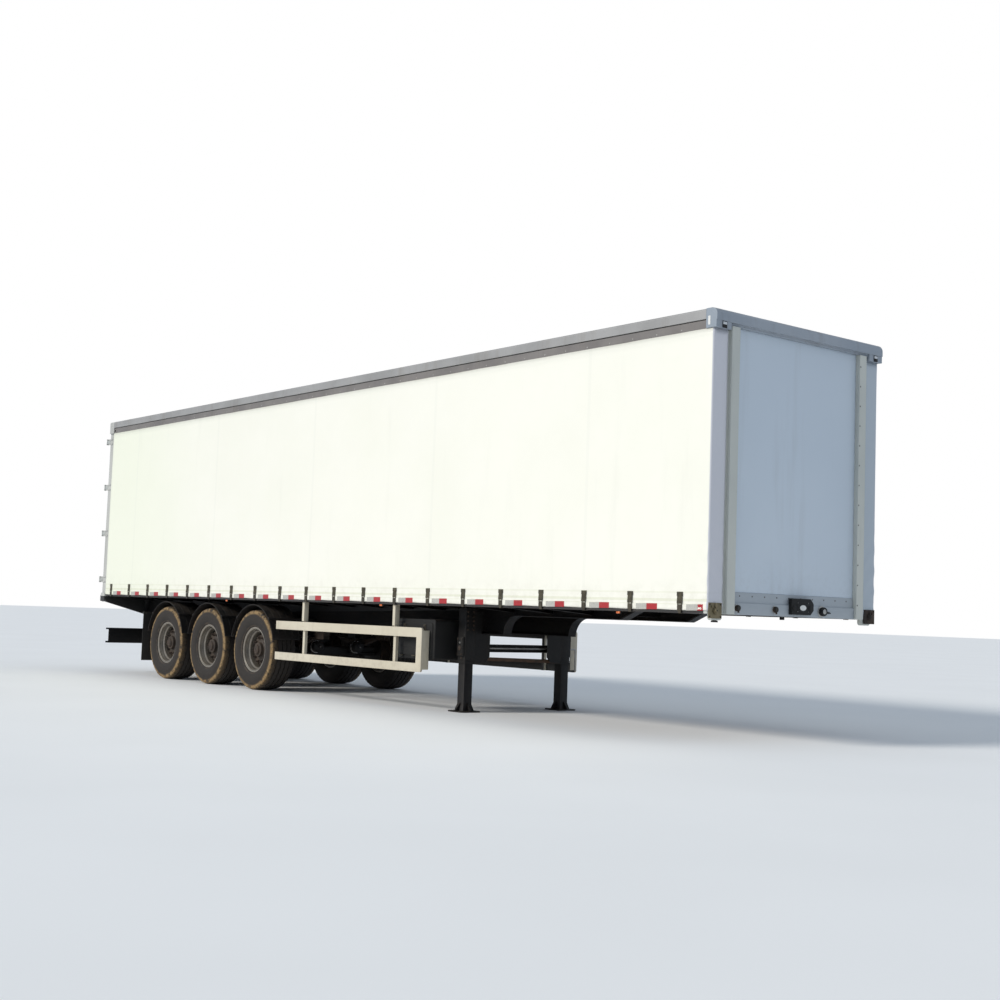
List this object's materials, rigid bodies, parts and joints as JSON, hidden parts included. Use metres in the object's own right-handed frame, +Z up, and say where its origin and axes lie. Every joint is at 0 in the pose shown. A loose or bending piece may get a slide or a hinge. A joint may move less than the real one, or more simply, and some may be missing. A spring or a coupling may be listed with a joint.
{
  "type": "curtain-sided semi trailer",
  "caption": "Closed curtain-sided semi trailer with gooseneck frame, kingpin, landing legs, three axles with wide single tyres and rear double doors.",
  "frame": {"origin": "on the ground below the middle of the body", "axes": "+X forward to the front wall, +Y to the left side, +Z up"},
  "size_m": [13.4, 2.548, 4.05],
  "materials": {
    "chassis_paint": "satin, dusty",
    "bare_steel": "worn",
    "deck_wood": "sealed plywood",
    "wall_paint": "satin",
    "cream_paint": "satin, weathered",
    "header_paint": "satin",
    "roof_sheet": "plain sheet",
    "rail_paint": "satin, weathered",
    "frame_paint": "satin",
    "curtain_cloth": "coated cloth, slightly glossy",
    "strap_steel": "dusty webbing and plated buckle",
    "black_plastic": "matte",
    "spring_steel": "dull",
    "flap_rubber": "dull",
    "lamp_lens": "ribbed lens",
    "tail_lens": "ribbed lens",
    "door_paint": "satin",
    "tyre": "dusty",
    "rim_paint": "silver, dusty"
  },
  "bodies": {
    "chassis": {"main_beams": "chassis_paint", "cross_members": "chassis_paint", "side_rails": "chassis_paint", "coupler_plate": "bare_steel", "kingpin": "bare_steel", "floor": "deck_wood", "bulkhead_panel": "wall_paint", "bulkhead_rail": "wall_paint", "bulkhead_pillars": "cream_paint", "front_header": "header_paint", "roof_skin": "roof_sheet", "roof_rails": "rail_paint", "roof_bows": "bare_steel", "side_posts": "bare_steel", "rear_frame": "frame_paint", "curtain_left": "curtain_cloth", "curtain_right": "curtain_cloth", "curtain_buckles": "strap_steel", "curtain_tensioners": "strap_steel", "service_connectors": "black_plastic", "axles": "chassis_paint", "leaf_springs": "spring_steel", "spring_hangers": "chassis_paint", "mudguards": "black_plastic", "mudflaps": "flap_rubber", "landing_legs": "chassis_paint", "landing_feet": "chassis_paint", "landing_shaft": "bare_steel", "side_guard_left": "cream_paint", "side_guard_right": "cream_paint", "toolbox": "black_plastic", "air_tanks": "chassis_paint", "underrun_beam": "chassis_paint", "marker_lamps": "lamp_lens", "tail_lamps": "tail_lens", "dock_buffers": "flap_rubber"},
    "wheel_front_right": {"tyre_front_right": "tyre", "rim_front_right": "rim_paint"},
    "wheel_front_left": {"tyre_front_left": "tyre", "rim_front_left": "rim_paint"},
    "wheel_middle_right": {"tyre_middle_right": "tyre", "rim_middle_right": "rim_paint"},
    "wheel_middle_left": {"tyre_middle_left": "tyre", "rim_middle_left": "rim_paint"},
    "wheel_rear_right": {"tyre_rear_right": "tyre", "rim_rear_right": "rim_paint"},
    "wheel_rear_left": {"tyre_rear_left": "tyre", "rim_rear_left": "rim_paint"},
    "door_left": {"door_left": "door_paint", "door_locks_left": "bare_steel"},
    "door_right": {"door_right": "door_paint", "door_locks_right": "bare_steel"}
  },
  "joints": [
    {"name": "wheel_spin_front_right", "type": "hinge", "parent": "chassis", "child": "wheel_front_right", "pos_m": [-1.685, -1.03, 0.5425], "axis": [0, 1, 0], "continuous": true},
    {"name": "wheel_spin_front_left", "type": "hinge", "parent": "chassis", "child": "wheel_front_left", "pos_m": [-1.685, 1.03, 0.5425], "axis": [0, 1, 0], "continuous": true},
    {"name": "wheel_spin_middle_right", "type": "hinge", "parent": "chassis", "child": "wheel_middle_right", "pos_m": [-2.995, -1.03, 0.5425], "axis": [0, 1, 0], "continuous": true},
    {"name": "wheel_spin_middle_left", "type": "hinge", "parent": "chassis", "child": "wheel_middle_left", "pos_m": [-2.995, 1.03, 0.5425], "axis": [0, 1, 0], "continuous": true},
    {"name": "wheel_spin_rear_right", "type": "hinge", "parent": "chassis", "child": "wheel_rear_right", "pos_m": [-4.305, -1.03, 0.5425], "axis": [0, 1, 0], "continuous": true},
    {"name": "wheel_spin_rear_left", "type": "hinge", "parent": "chassis", "child": "wheel_rear_left", "pos_m": [-4.305, 1.03, 0.5425], "axis": [0, 1, 0], "continuous": true},
    {"name": "door_hinge_left", "type": "hinge", "parent": "chassis", "child": "door_left", "pos_m": [-6.685, 1.262, 2.6], "axis": [0, 0, -1], "range_deg": [0, 270]},
    {"name": "door_hinge_right", "type": "hinge", "parent": "chassis", "child": "door_right", "pos_m": [-6.685, -1.262, 2.6], "axis": [0, 0, 1], "range_deg": [0, 270]}
  ]
}
